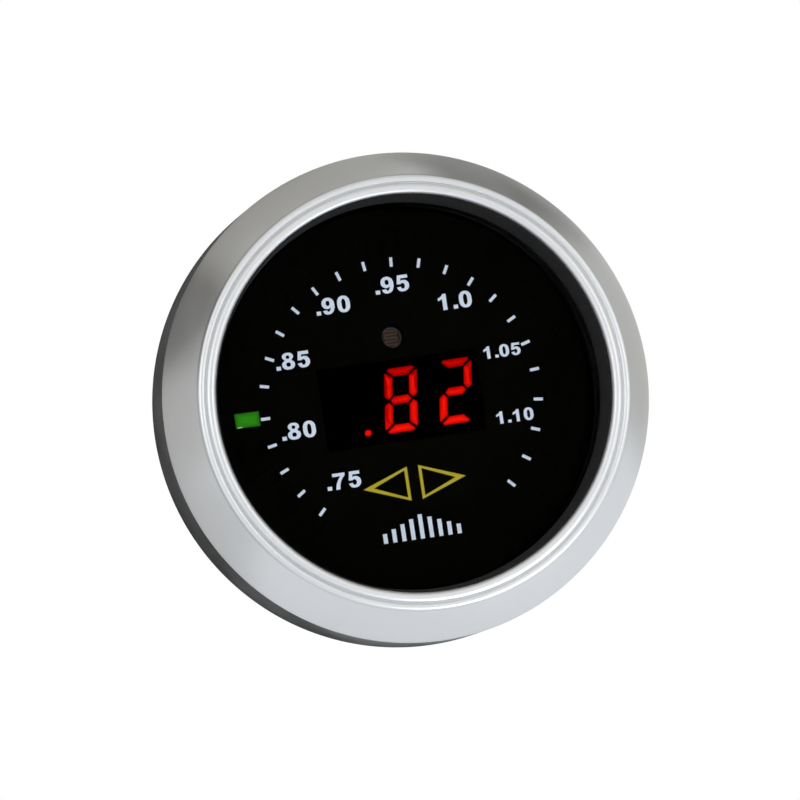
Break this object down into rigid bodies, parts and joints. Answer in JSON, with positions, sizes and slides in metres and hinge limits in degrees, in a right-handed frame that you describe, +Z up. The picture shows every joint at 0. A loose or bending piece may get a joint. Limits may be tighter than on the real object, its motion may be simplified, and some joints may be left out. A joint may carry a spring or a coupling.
{
  "type": "air fuel ratio gauge",
  "caption": "Round panel gauge with a screw-on silver bezel, recessed lens, light-window dial and digit display over two circuit boards, held in its panel hole by a U bracket and thumb nuts.",
  "frame": {"origin": "on the gauge's axis, in the plane of the flange face that seats on the panel", "axes": "+Y runs backwards through the panel, so the dial looks along -Y; +Z is up on the dial; +X is to the dial's right as the driver sees it"},
  "size_m": [0.06, 0.0583, 0.06],
  "materials": {
    "silver_paint": "satin",
    "black_moulding": "matte",
    "matt_liner": "matte",
    "clear_lens": "clear, polished",
    "rubber_seal": "matte",
    "printed_dial": "matte print on a black sheet",
    "window_plastic": "dark translucent",
    "emitter_white": "gloss",
    "display_black": "matte",
    "segment_red": "translucent red",
    "smoked_filter": "smoked, clear",
    "photocell": "ceramic with a resistive track",
    "board": "solder mask",
    "chip_black": "matte",
    "can_metal": "plain",
    "brass": "plain",
    "gold_pin": "plated",
    "zinc_steel": "zinc plated",
    "white_nylon": "satin",
    "black_nylon": "satin",
    "switch_blue": "satin",
    "switch_cream": "satin"
  },
  "bodies": {
    "case": {"housing": "black_moulding", "rear_cover": "black_moulding", "cover_screws": "zinc_steel", "mounting_studs": "zinc_steel", "dial_spacer": "matt_liner", "dial_plate": "printed_dial", "light_baffle": "black_moulding", "light_windows": "window_plastic", "light_emitters": "emitter_white", "display_module": "display_black", "digit_segments": "segment_red", "display_filter": "smoked_filter", "light_sensor": "photocell", "display_board": "board", "driver_chips": "chip_black", "board_standoffs": "brass", "board_screws": "zinc_steel", "board_link": "black_nylon", "control_board": "board", "processor_chip": "chip_black", "sensor_chip": "chip_black", "crystal": "can_metal", "voltage_regulator": "chip_black", "supply_capacitors": "can_metal", "supply_inductor": "chip_black", "power_socket": "white_nylon", "power_pins": "gold_pin", "sensor_socket": "black_nylon", "sensor_pins": "gold_pin", "switch_body": "switch_blue"},
    "lens_stack": {"lens": "clear_lens", "lens_gasket": "rubber_seal"},
    "bezel_ring": {"bezel": "silver_paint", "bezel_liner": "matt_liner"},
    "calibration_rotor": {"switch_rotor": "switch_cream"},
    "clamp": {"bracket": "zinc_steel", "lock_washers": "zinc_steel"},
    "top_nut": {"upper_nut": "brass"},
    "bottom_nut": {"lower_nut": "brass"}
  },
  "joints": [
    {"name": "lens_lift", "type": "slide", "parent": "case", "child": "lens_stack", "axis": [0, -1, 0], "range_m": [0, 0.006]},
    {"name": "bezel_turn", "type": "hinge", "parent": "lens_stack", "child": "bezel_ring", "pos_m": [0, 0, 0], "axis": [0, -1, 0], "range_deg": [0, 1440]},
    {"name": "clamp_slide", "type": "slide", "parent": "case", "child": "clamp", "axis": [0, 1, 0], "range_m": [0, 0.007]},
    {"name": "upper_nut_turn", "type": "hinge", "parent": "clamp", "child": "top_nut", "pos_m": [0, 0.0266, 0.017], "axis": [0, 1, 0], "range_deg": [0, 3600]},
    {"name": "lower_nut_turn", "type": "hinge", "parent": "clamp", "child": "bottom_nut", "pos_m": [0, 0.0266, -0.017], "axis": [0, 1, 0], "range_deg": [0, 3600]},
    {"name": "calibration_turn", "type": "hinge", "parent": "case", "child": "calibration_rotor", "pos_m": [-0.01349, 0.0238, -0.009], "axis": [0, 1, 0], "continuous": true}
  ],
  "couplings": [
    {"joint": "lens_lift", "follows": "bezel_turn", "m_per_rad": 0.00023873},
    {"joint": "upper_nut_turn", "follows": "clamp_slide", "rad_per_m": 8976},
    {"joint": "lower_nut_turn", "follows": "clamp_slide", "rad_per_m": 8976}
  ]
}
